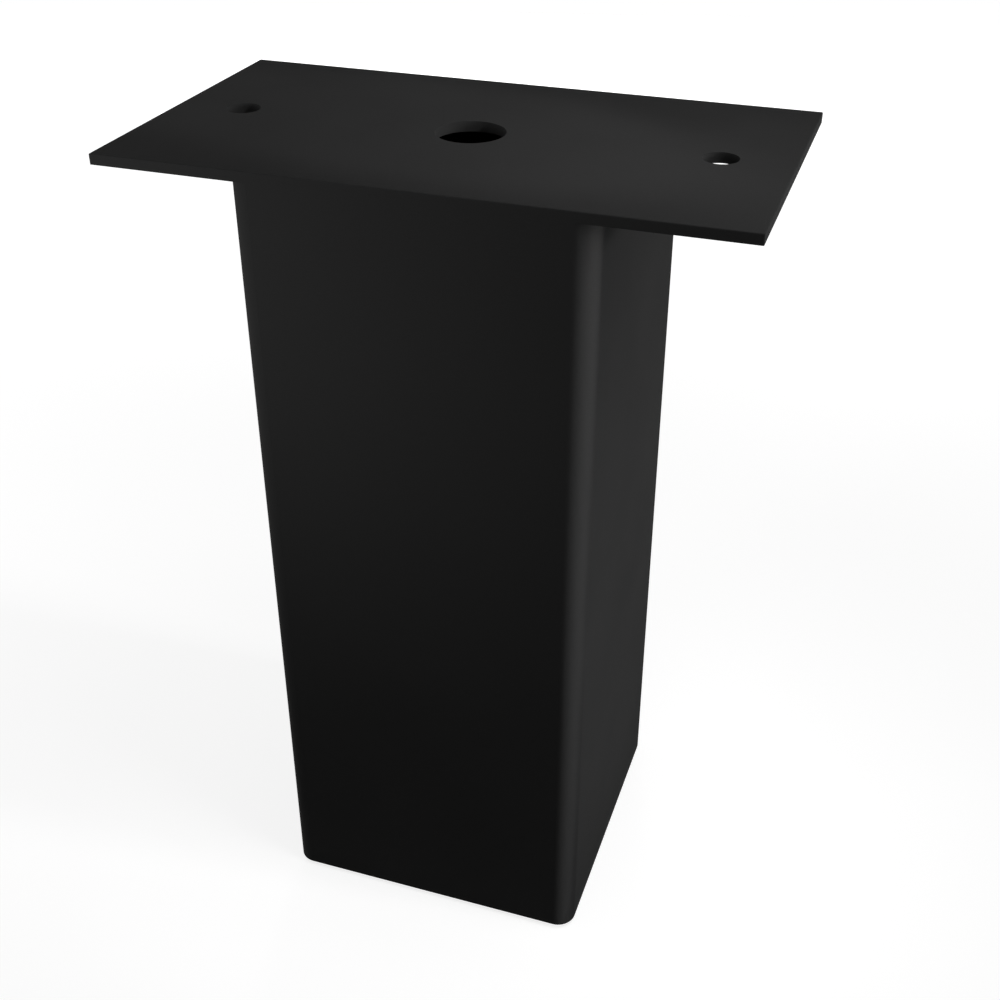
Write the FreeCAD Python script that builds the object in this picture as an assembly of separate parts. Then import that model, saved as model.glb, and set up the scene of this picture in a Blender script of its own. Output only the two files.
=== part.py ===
# Square metal table leg: a square steel tube under a rectangular mounting plate, welded along
# the plate's two ears, with a moulded plastic foot cap pressed into the tube's open end.
# Millimetres, +Z up. The origin is on the floor, under the middle of the foot. X runs along the
# plate's long side.
import FreeCAD
import Part
import math
import os

from FreeCAD import Vector

# Square tube
TUBE_SIDE = 100.0
TUBE_WALL = 3.0
TUBE_CORNER_RADIUS = 6.0
TUBE_EDGE_BREAK = 0.3
LEG_HEIGHT = 250.0  # from the tube's sawn end to the mounting face

# Mounting plate
PLATE_THICKNESS = 3.0
PLATE_EAR = 40.0  # how far the plate reaches past the tube at each end
PLATE_EDGE_BREAK = 0.3
FIXING_HOLE_DIAMETER = 10.0
FIXING_HOLE_TO_END = 20.0  # from the hole's centre to the plate's end
CENTRE_HOLE_DIAMETER = 20.0

# Fillet welds under the plate's ears
WELD_LEG = 3.0
WELD_CROWN = 0.4  # how far the bead's face swells past a flat one

# Foot cap: a thin flange under the tube's end, and a ribbed insert inside the tube
CAP_FLANGE_THICKNESS = 1.5
CAP_FLANGE_INSET = 1.5  # from the tube's outer faces
CAP_FLANGE_EDGE_RADIUS = 0.8
CAP_INSERT_DEPTH = 20.0
CAP_CLEARANCE = 0.1  # between the barbs' tips and the tube's inner faces
CAP_CORE_RADIUS = 4.0
CAP_LEAD_IN = 1.0
CAP_BARB_DEPTH = 1.2
CAP_BARB_HEIGHT = 3.0
CAP_BARB_PITCH = 5.0
CAP_BARB_COUNT = 3
CAP_BARB_START = 3.0  # from the flange to the lowest barb
CAP_SOLE = 3.0
CAP_WALL = 2.0
CAP_RIB = 1.6
CAP_CELLS = 4  # hollow cells along each side of the insert

# Sizes that follow from the ones above
TUBE_BORE = TUBE_SIDE - 2 * TUBE_WALL
TUBE_BORE_RADIUS = TUBE_CORNER_RADIUS - TUBE_WALL
TUBE_BOTTOM = CAP_FLANGE_THICKNESS
PLATE_TOP = TUBE_BOTTOM + LEG_HEIGHT
PLATE_BOTTOM = PLATE_TOP - PLATE_THICKNESS
PLATE_LENGTH = TUBE_SIDE + 2 * PLATE_EAR
PLATE_WIDTH = TUBE_SIDE  # flush with the tube's front and back faces
FIXING_HOLE_X = PLATE_LENGTH / 2 - FIXING_HOLE_TO_END

ORIGIN = Vector(0, 0, 0)
UP = Vector(0, 0, 1)
ALONG_X = Vector(1, 0, 0)
ALONG_Y = Vector(0, 1, 0)
SAME_PLACE = 1e-6  # two coordinates this close count as one


def rounded_square(side, radius, z):
    """Closed outline of a square with round corners, centred on the Z axis at height z."""
    flat = side / 2 - radius
    edges = []
    for quarter in range(4):
        run = Part.makeLine(Vector(side / 2, -flat, z), Vector(side / 2, flat, z))
        corner = Part.makeCircle(radius, Vector(flat, flat, z), UP, 0, 90)
        for edge in (run, corner):
            edge.rotate(ORIGIN, UP, 90 * quarter)
            edges.append(edge)
    return Part.Wire(Part.__sortEdges__(edges))


def rounded_prism(side, radius, z, height):
    """Upright solid on a rounded square."""
    return Part.Face(rounded_square(side, radius, z)).extrude(UP * height)


def edges_at(shape, z):
    """The edges that lie flat at height z."""
    return [e for e in shape.Edges if all(abs(v.Z - z) < SAME_PLACE for v in e.Vertexes)]


def upright_edges(shape):
    """The straight edges that run along Z."""
    return [e for e in shape.Edges if e.BoundBox.XLength + e.BoundBox.YLength < SAME_PLACE]


def make_square_tube():
    """Cold-formed square tube, with both rims of its sawn lower end deburred."""
    length = PLATE_BOTTOM - TUBE_BOTTOM
    outside = rounded_prism(TUBE_SIDE, TUBE_CORNER_RADIUS, TUBE_BOTTOM, length)
    inside = rounded_prism(TUBE_BORE, TUBE_BORE_RADIUS, TUBE_BOTTOM, length)
    tube = outside.cut(inside)
    return tube.makeChamfer(TUBE_EDGE_BREAK, edges_at(tube, TUBE_BOTTOM))


def make_mounting_plate():
    """Flat plate with a fixing hole in each ear and a large hole over the tube's bore."""
    corner = Vector(-PLATE_LENGTH / 2, -PLATE_WIDTH / 2, PLATE_BOTTOM)
    plate = Part.makeBox(PLATE_LENGTH, PLATE_WIDTH, PLATE_THICKNESS, corner)
    plate = plate.makeFillet(PLATE_EDGE_BREAK, upright_edges(plate) + edges_at(plate, PLATE_TOP))
    holes = [
        (-FIXING_HOLE_X, FIXING_HOLE_DIAMETER),
        (0, CENTRE_HOLE_DIAMETER),
        (FIXING_HOLE_X, FIXING_HOLE_DIAMETER),
    ]
    for x, diameter in holes:
        foot = Vector(x, 0, PLATE_BOTTOM)
        plate = plate.cut(Part.makeCylinder(diameter / 2, PLATE_THICKNESS, foot, UP))
    return plate


def make_weld_bead():
    """Fillet weld in the corner under the right ear: a run with tapered, rounded ends.

    Its face is part of a large cylinder through the tips of both weld legs, and the ends are
    spheres of the same radius, so the bead thins out along the corner.
    """
    corner_x = TUBE_SIDE / 2
    chord = math.sqrt(2) * WELD_LEG
    radius = chord**2 / (8 * WELD_CROWN) + WELD_CROWN / 2
    back = (radius - WELD_CROWN) / math.sqrt(2)
    centre_x = corner_x + WELD_LEG / 2 - back
    centre_z = PLATE_BOTTOM - WELD_LEG / 2 + back
    run = TUBE_SIDE - 2 * TUBE_CORNER_RADIUS - 2 * radius
    start = Vector(centre_x, -run / 2, centre_z)
    end = Vector(centre_x, run / 2, centre_z)
    bead = Part.makeCylinder(radius, run, start, ALONG_Y)
    bead = bead.fuse([Part.makeSphere(radius, start), Part.makeSphere(radius, end)])
    corner_space = Part.makeBox(
        2 * WELD_LEG,
        TUBE_SIDE,
        2 * WELD_LEG,
        Vector(corner_x, -TUBE_SIDE / 2, PLATE_BOTTOM - 2 * WELD_LEG),
    )
    return bead.common(corner_space).removeSplitter()


def make_foot_cap():
    """Moulded insert: barbed rings grip the tube, ribs stiffen the sole, the flange stops it."""
    flange_side = TUBE_SIDE - 2 * CAP_FLANGE_INSET
    flange_radius = TUBE_CORNER_RADIUS - CAP_FLANGE_INSET
    flange = rounded_prism(flange_side, flange_radius, 0, CAP_FLANGE_THICKNESS)
    flange = flange.makeFillet(CAP_FLANGE_EDGE_RADIUS, edges_at(flange, 0))

    grip_side = TUBE_BORE - 2 * CAP_CLEARANCE
    grip_radius = TUBE_BORE_RADIUS - CAP_CLEARANCE
    core_side = grip_side - 2 * CAP_BARB_DEPTH
    core_top = TUBE_BOTTOM + CAP_INSERT_DEPTH
    core = rounded_prism(core_side, CAP_CORE_RADIUS, TUBE_BOTTOM, CAP_INSERT_DEPTH)
    core = core.makeChamfer(CAP_LEAD_IN, edges_at(core, core_top))

    barbs = []
    for row in range(CAP_BARB_COUNT):
        z = TUBE_BOTTOM + CAP_BARB_START + row * CAP_BARB_PITCH
        tip = rounded_square(grip_side, grip_radius, z)
        root = rounded_square(core_side, CAP_CORE_RADIUS, z + CAP_BARB_HEIGHT)
        barbs.append(Part.makeLoft([tip, root], True))
    cap = flange.fuse([core] + barbs).removeSplitter()

    inner_side = core_side - 2 * CAP_WALL
    cell = (inner_side - (CAP_CELLS - 1) * CAP_RIB) / CAP_CELLS
    depth = core_top - CAP_SOLE
    cells = []
    for column in range(CAP_CELLS):
        for row in range(CAP_CELLS):
            x = -inner_side / 2 + column * (cell + CAP_RIB)
            y = -inner_side / 2 + row * (cell + CAP_RIB)
            cells.append(Part.makeBox(cell, cell, depth, Vector(x, y, CAP_SOLE)))
    return cap.cut(cells)


def main():
    weld_bead = make_weld_bead()
    nodes = {
        "square_tube": make_square_tube(),
        "mounting_plate": make_mounting_plate(),
        "right_weld_bead": weld_bead,
        "left_weld_bead": weld_bead.mirror(ORIGIN, ALONG_X),
        "foot_cap": make_foot_cap(),
    }
    os.makedirs("parts", exist_ok=True)
    for name, shape in nodes.items():
        shape.exportStep(f"parts/{name}.step")


main()
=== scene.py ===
# Looks of the square metal table leg: black powder coat on the welded steel, rippled weld beads
# under the plate's ears and a grained plastic foot cap, in a small white studio.
# Metres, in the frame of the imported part: +Z up, X along the plate, the camera on the -Y side.
import math

import bmesh
import bpy
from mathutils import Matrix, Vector


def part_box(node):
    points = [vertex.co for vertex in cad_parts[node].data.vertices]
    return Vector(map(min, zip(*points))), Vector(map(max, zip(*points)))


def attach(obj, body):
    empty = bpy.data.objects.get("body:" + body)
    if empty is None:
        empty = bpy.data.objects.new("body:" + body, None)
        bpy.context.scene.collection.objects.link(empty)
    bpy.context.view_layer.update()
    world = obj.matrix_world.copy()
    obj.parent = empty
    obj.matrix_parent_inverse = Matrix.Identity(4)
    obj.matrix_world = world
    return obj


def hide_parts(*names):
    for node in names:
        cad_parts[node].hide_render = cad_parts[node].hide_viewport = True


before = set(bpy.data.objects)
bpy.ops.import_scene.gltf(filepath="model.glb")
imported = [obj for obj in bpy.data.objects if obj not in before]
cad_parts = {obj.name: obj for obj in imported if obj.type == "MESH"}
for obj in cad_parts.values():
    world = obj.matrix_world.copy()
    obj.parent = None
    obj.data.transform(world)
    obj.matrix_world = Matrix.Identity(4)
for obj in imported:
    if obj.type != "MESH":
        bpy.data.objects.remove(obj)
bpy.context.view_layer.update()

tube_low, tube_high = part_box("square_tube")
plate_low, plate_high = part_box("mounting_plate")

MM = 0.001

# Camera, solved from the straight edges in the photograph
CAMERA_PLACE = Vector((129.1, -357.1, 370.15)) * MM
CAMERA_TURN = math.radians(18.65)
CAMERA_DIP = math.radians(32.20)
CAMERA_LENS = 50.0  # lens and sensor are in millimetres
CAMERA_SENSOR = 36.0

# Weld beads
WELD_CROWN = 0.4 * MM  # how far the bead's face swells past a flat one
RIPPLE_PITCH = 2.0 * MM
RIPPLE_HEIGHT = 0.24 * MM
RIPPLE_SUNK = 0.6  # share of that height that lies under the plain bead's face
RIPPLE_SWEEP = 1.3 * MM  # how far a ripple's middle runs ahead of its ends
RIPPLE_ROUNDNESS = 0.7  # under 1 gives round crests and sharp valleys
RIPPLE_WANDER = ((0.25, 0.9), (0.15, 2.3))  # uneven pitch: waves of a height and a rate, in ripples
BEAD_STEP = 0.2 * MM  # along the bead
BEAD_STEPS_ACROSS = 18

# Powder coat
COAT_GREYS = (0.020, 0.024)
COAT_ROUGHNESS = (0.80, 0.86)
COAT_SPECULAR = 0.03
PEEL_SIZE = 0.9 * MM
PEEL_DEPTH = 0.02 * MM
GRAIN_SIZE = 0.35 * MM
GRAIN_DEPTH = 0.012 * MM

# Moulded plastic
PLASTIC_GREYS = (0.014, 0.018)
PLASTIC_ROUGHNESS = (0.60, 0.66)
PLASTIC_SPECULAR = 0.15
PLASTIC_GRAIN_SIZE = 0.5 * MM
PLASTIC_GRAIN_DEPTH = 0.05 * MM

DRIFT_SIZE = 40 * MM  # of the slow change of gloss in both materials
NOISE_RANGE = (0.3, 0.7)  # where nearly all values of a noise lie

# Studio
FLOOR_RADIUS = 12.0
FLOOR_SIDES = 96
FLOOR_GREY = 0.5
FLOOR_GLOW = (0.82, 0.91)  # near the leg, where the lamps add more, and far from it
FLOOR_GLOW_REACH = (0.15, 0.6)
WORLD_LIGHT = 0.12

# Lamps: places and sizes in metres, powers in watts, angles in degrees
SKY_LIGHT = 0.07  # 1 would show a white sheet as white
SKY_ANGLE = 70
BACK_PLACE = (-0.3, 1.2, 0.1)
BACK_AIM = (0, 0, 0.13)
BACK_POWER = 5.5
BACK_SIZE = 0.28
SPOT_RADIUS = 0.08
SPOTS = {
    # From the right, and low, which keeps the ear's shadow on the tube short
    "key": dict(place=(1.0, 0.03, 0.41), aim=(0, 0, 0.17), watts=20.5, cone=22),
    # From above, brightest on the right of the plate
    "plate_light": dict(place=(0.17, -0.06, 0.5), aim=(0.1, -0.03, plate_high.z), watts=2.4, cone=50),
    # Lifts the upper left of the tube's front
    "fill": dict(place=(-0.25, -0.3, 0.26), aim=(-0.08, tube_low.y, 0.235), watts=3.6, cone=50),
    # Lights the plate and the left walls of its holes
    "holes": dict(
        place=(0.55, -0.1, plate_high.z + 0.265),
        aim=(-0.01, 0, plate_high.z),
        watts=9.5,
        cone=8.8,
        fade=0.4,
        radius=0.01,
    ),
}

# Strip lamp along the tube's front right corner
STRIP_DISTANCE = 0.05  # from the tube's right face
STRIP_SETBACK = 1.9 * MM  # behind the tube's front face
STRIP_AIM_AHEAD = 2.4 * MM  # of the tube's front face
STRIP_LEAN = -0.6  # its foot leans to the front, so the corner gets less light near the floor
STRIP_WIDTH = 12 * MM
STRIP_GAP = 1 * MM  # to the floor and to the plate
STRIP_POWER = 0.0142
STRIP_BEAM = 9


def link(tree, output, target):
    """Joins an output socket to an input socket."""
    tree.links.new(output, target)


def new_material(name):
    """A node material, with its tree and its shader."""
    material = bpy.data.materials.new(name)
    material.use_nodes = True
    return material, material.node_tree, material.node_tree.nodes["Principled BSDF"]


def object_place(tree):
    """Coordinates in the part's own metres."""
    return tree.nodes.new("ShaderNodeTexCoord").outputs["Object"]


def noise(tree, size, detail, roughness=0.5):
    """Noise with spots of about the given size."""
    texture = tree.nodes.new("ShaderNodeTexNoise")
    texture.inputs["Scale"].default_value = 1 / size
    texture.inputs["Detail"].default_value = detail
    texture.inputs["Roughness"].default_value = roughness
    link(tree, object_place(tree), texture.inputs["Vector"])
    return texture.outputs["Fac"]


def spread(tree, value, to, source=NOISE_RANGE):
    """Maps a value from one range to another and holds it there."""
    node = tree.nodes.new("ShaderNodeMapRange")
    for socket, number in zip(("From Min", "From Max", "To Min", "To Max"), source + to):
        node.inputs[socket].default_value = number
    link(tree, value, node.inputs["Value"])
    return node.outputs["Result"]


def grey_blend(tree, value, greys):
    """A grey between two others, by value."""
    node = tree.nodes.new("ShaderNodeMix")
    node.data_type = "RGBA"
    for socket, grey in zip("AB", greys):
        node.inputs[socket].default_value = (grey, grey, grey, 1)
    link(tree, value, node.inputs["Factor"])
    return node.outputs["Result"]


def combine(tree, operation, first, second):
    """The result of a math operation on two values."""
    node = tree.nodes.new("ShaderNodeMath")
    node.operation = operation
    link(tree, first, node.inputs[0])
    link(tree, second, node.inputs[1])
    return node.outputs["Value"]


def bump(tree, height, depth, under=None):
    """Surface relief of a real depth, laid over another one."""
    node = tree.nodes.new("ShaderNodeBump")
    node.inputs["Distance"].default_value = depth
    link(tree, height, node.inputs["Height"])
    if under is not None:
        link(tree, under, node.inputs["Normal"])
    return node.outputs["Normal"]


def powder_coat():
    """Matte black powder coat: orange peel, fine grain and a slow drift of gloss."""
    material, tree, shader = new_material("powder_coat_black")
    drift = noise(tree, DRIFT_SIZE, detail=3)
    peel = noise(tree, PEEL_SIZE, detail=1)
    grain = noise(tree, GRAIN_SIZE, detail=2)
    relief = bump(tree, grain, GRAIN_DEPTH, bump(tree, peel, PEEL_DEPTH))
    link(tree, grey_blend(tree, grain, COAT_GREYS), shader.inputs["Base Color"])
    link(tree, spread(tree, drift, COAT_ROUGHNESS), shader.inputs["Roughness"])
    link(tree, relief, shader.inputs["Normal"])
    shader.inputs["Specular IOR Level"].default_value = COAT_SPECULAR
    return material


def moulded_plastic():
    """Black plastic with the matte, spark-eroded grain of its mould."""
    material, tree, shader = new_material("moulded_plastic_black")
    drift = noise(tree, DRIFT_SIZE, detail=2)
    grain = noise(tree, PLASTIC_GRAIN_SIZE, detail=3, roughness=0.6)
    link(tree, grey_blend(tree, grain, PLASTIC_GREYS), shader.inputs["Base Color"])
    link(tree, spread(tree, drift, PLASTIC_ROUGHNESS), shader.inputs["Roughness"])
    link(tree, bump(tree, grain, PLASTIC_GRAIN_DEPTH), shader.inputs["Normal"])
    shader.inputs["Specular IOR Level"].default_value = PLASTIC_SPECULAR
    return material


def dress(node, material):
    """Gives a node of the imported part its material."""
    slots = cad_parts[node].data.materials
    slots.clear()
    slots.append(material)


def new_object(name, mesh, material):
    """Turns a finished bmesh into an object with one material."""
    data = bpy.data.meshes.new(name)
    mesh.to_mesh(data)
    mesh.free()
    data.materials.append(material)
    piece = bpy.data.objects.new(name, data)
    bpy.context.scene.collection.objects.link(piece)
    return piece


def ripple(along, across):
    """Height of the weld's scales, from 0 to 1, at a place along and across the bead."""
    count = (along + RIPPLE_SWEEP * (2 * across - 1) ** 2) / RIPPLE_PITCH
    count += sum(height * math.sin(rate * along / RIPPLE_PITCH) for height, rate in RIPPLE_WANDER)
    return abs(math.sin(math.pi * count)) ** RIPPLE_ROUNDNESS


def weld_bead(name, node, coat):
    """Fillet weld with rippled scales, in the place and form of the plain bead that it stands for.

    As on the plain bead, the face is part of a cylinder through the tips of both weld legs, and
    spheres of the same radius taper its ends.
    """
    low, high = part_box(node)
    side = math.copysign(1, low.x + high.x)
    leg = high.x - low.x
    corner_x = min(abs(low.x), abs(high.x))
    corner_z = high.z
    radius = leg**2 / (4 * WELD_CROWN) + WELD_CROWN / 2
    back = (radius - WELD_CROWN) / math.sqrt(2) - leg / 2  # from the corner to the axis, in x and in z
    taper = math.sqrt(radius**2 - 2 * back**2)  # length of each end
    stations = round((high.y - low.y) / BEAD_STEP)
    mesh = bmesh.new()

    def corner(y):
        """The vertex at y in the corner between tube and plate."""
        return mesh.verts.new((side * corner_x, y, corner_z))

    def section(y):
        """The bead's section at y: its face from the tube to the plate, then the corner."""
        past_run = max(abs(y) - (high.y - taper), 0)
        reach = math.sqrt(radius**2 - past_run**2)
        first = math.acos(back / reach)
        last = math.asin(back / reach)
        calm = min((high.y - abs(y)) / taper, 1)
        ring = []
        for step in range(BEAD_STEPS_ACROSS + 1):
            across = step / BEAD_STEPS_ACROSS
            angle = first + (last - first) * across
            scale = (ripple(y, across) - RIPPLE_SUNK) * math.sin(math.pi * across) * calm
            out = reach + RIPPLE_HEIGHT * scale
            x = corner_x - back + out * math.cos(angle)
            z = corner_z + back - out * math.sin(angle)
            ring.append(mesh.verts.new((side * x, y, z)))
        return ring + [corner(y)]

    rings = [section(low.y + (high.y - low.y) * i / stations) for i in range(1, stations)]
    for ring, following in zip(rings, rings[1:]):
        for i in range(len(ring)):
            j = (i + 1) % len(ring)
            face = mesh.faces.new((ring[i], ring[j], following[j], following[i]))
            face.smooth = i < BEAD_STEPS_ACROSS
    for ring, tip in ((rings[0], corner(low.y)), (rings[-1], corner(high.y))):
        for i in range(len(ring)):
            mesh.faces.new((ring[i], ring[(i + 1) % len(ring)], tip))
    bmesh.ops.recalc_face_normals(mesh, faces=mesh.faces)

    piece = new_object(name, mesh, coat)
    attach(piece, "root")
    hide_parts(node)


def seen(tree):
    """1 for rays from the camera, a reflection or a clear body, 0 for light on its way."""
    path = tree.nodes.new("ShaderNodeLightPath")
    either = path.outputs["Is Camera Ray"]
    for kind in ("Is Glossy Ray", "Is Transmission Ray"):
        either = combine(tree, "MAXIMUM", either, path.outputs[kind])
    return either


def make_floor():
    """Pale floor that looks white and still takes the leg's shadow."""
    material, tree, shader = new_material("floor_white")
    shader.inputs["Base Color"].default_value = (FLOOR_GREY, FLOOR_GREY, FLOOR_GREY, 1)
    shader.inputs["Roughness"].default_value = 1
    shader.inputs["Specular IOR Level"].default_value = 0
    shader.inputs["Emission Color"].default_value = (1, 1, 1, 1)
    distance = tree.nodes.new("ShaderNodeVectorMath")
    distance.operation = "LENGTH"
    link(tree, object_place(tree), distance.inputs["Vector"])
    glow = spread(tree, distance.outputs["Value"], FLOOR_GLOW, FLOOR_GLOW_REACH)
    link(tree, combine(tree, "MULTIPLY", glow, seen(tree)), shader.inputs["Emission Strength"])

    mesh = bmesh.new()
    bmesh.ops.create_circle(mesh, cap_ends=True, segments=FLOOR_SIDES, radius=FLOOR_RADIUS)
    new_object("floor", mesh, material)


def make_world():
    """White surroundings that give a dim light from all sides."""
    world = bpy.data.worlds.new("studio")
    world.use_nodes = True
    bpy.context.scene.world = world
    background = world.node_tree.nodes["Background"]
    background.inputs["Color"].default_value = (1, 1, 1, 1)
    strength = spread(world.node_tree, seen(world.node_tree), (WORLD_LIGHT, 1), (0, 1))
    link(world.node_tree, strength, background.inputs["Strength"])


def make_lamp(name, kind, place, aim, power, **settings):
    """Lamp that looks from place to aim, with the settings of its kind."""
    data = bpy.data.lights.new(name, kind)
    data.energy = power
    for setting, value in settings.items():
        setattr(data, setting, value)
    lamp = bpy.data.objects.new(name, data)
    lamp.location = place
    lamp.rotation_euler = (Vector(place) - Vector(aim)).to_track_quat("Z", "Y").to_euler()
    lamp.visible_camera = False
    bpy.context.scene.collection.objects.link(lamp)
    return lamp


def make_spot(name, place, aim, watts, cone, fade=1, radius=SPOT_RADIUS):
    """Spot whose light fades over the given share of its cone."""
    shape = dict(spot_size=math.radians(cone), spot_blend=fade, shadow_soft_size=radius)
    make_lamp(name, "SPOT", place, aim, watts, **shape)


def make_strip():
    """Strip lamp whose narrow beam grazes the tube's front right corner."""
    z = plate_low.z / 2
    place = (tube_high.x + STRIP_DISTANCE, tube_low.y + STRIP_SETBACK, z)
    aim = (tube_high.x, tube_low.y - STRIP_AIM_AHEAD, z)
    height = plate_low.z - 2 * STRIP_GAP
    shape = dict(shape="RECTANGLE", size=STRIP_WIDTH, size_y=height, spread=math.radians(STRIP_BEAM))
    strip = make_lamp("corner", "AREA", place, aim, STRIP_POWER, **shape)
    strip.rotation_euler.rotate_axis("Z", math.radians(STRIP_LEAN))


def make_lamps():
    """Studio light: the most from the right, less from above, the back and the front left."""
    make_lamp("sky", "SUN", (0, 0, 1), (0, 0, 0), math.pi * SKY_LIGHT, angle=math.radians(SKY_ANGLE))
    make_lamp("back", "AREA", BACK_PLACE, BACK_AIM, BACK_POWER, shape="DISK", size=BACK_SIZE)
    for name, spot in SPOTS.items():
        make_spot(name, **spot)
    make_strip()


def make_camera():
    """Camera of the photograph."""
    data = bpy.data.cameras.new("camera")
    data.lens = CAMERA_LENS
    data.sensor_width = CAMERA_SENSOR
    camera = bpy.data.objects.new("camera", data)
    camera.location = CAMERA_PLACE
    camera.rotation_euler = (math.pi / 2 - CAMERA_DIP, 0, CAMERA_TURN)
    bpy.context.scene.collection.objects.link(camera)
    bpy.context.scene.camera = camera


coat = powder_coat()
dress("square_tube", coat)
dress("mounting_plate", coat)
dress("foot_cap", moulded_plastic())
weld_bead("right_weld", "right_weld_bead", coat)
weld_bead("left_weld", "left_weld_bead", coat)

make_floor()
make_world()
make_lamps()
make_camera()
bpy.context.scene.view_settings.view_transform = "Standard"
